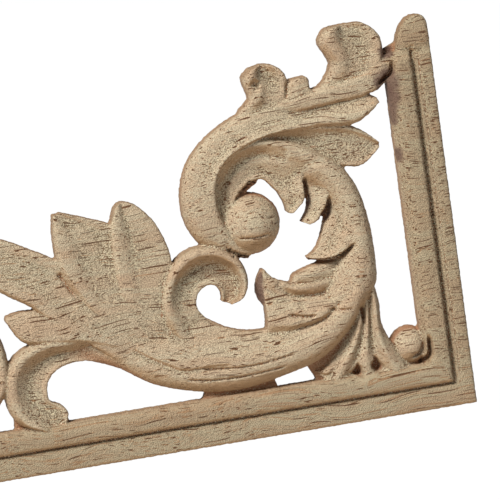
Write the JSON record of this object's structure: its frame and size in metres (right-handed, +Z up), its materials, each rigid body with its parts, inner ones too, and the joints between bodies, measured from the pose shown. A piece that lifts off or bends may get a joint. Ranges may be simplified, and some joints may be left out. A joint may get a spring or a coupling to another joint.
{
  "type": "carved wooden corner onlay",
  "caption": "Flat-backed L of moulded rail with pierced scroll and acanthus carving in its corner, for furniture, doors and frames.",
  "frame": {"origin": "where the two rails' centrelines cross, on the flat back", "axes": "+Y out of the flat back into the wall or panel, so the carving faces -Y; +Z up along the short rail; the long rail runs towards -X"},
  "size_m": [0.3001, 0.009, 0.1215],
  "materials": {
    "pale_wood": "bare, sanded, straight grain along the long rail with short dark pores"
  },
  "bodies": {
    "root": {"corner_onlay": "pale_wood"}
  },
  "joints": []
}
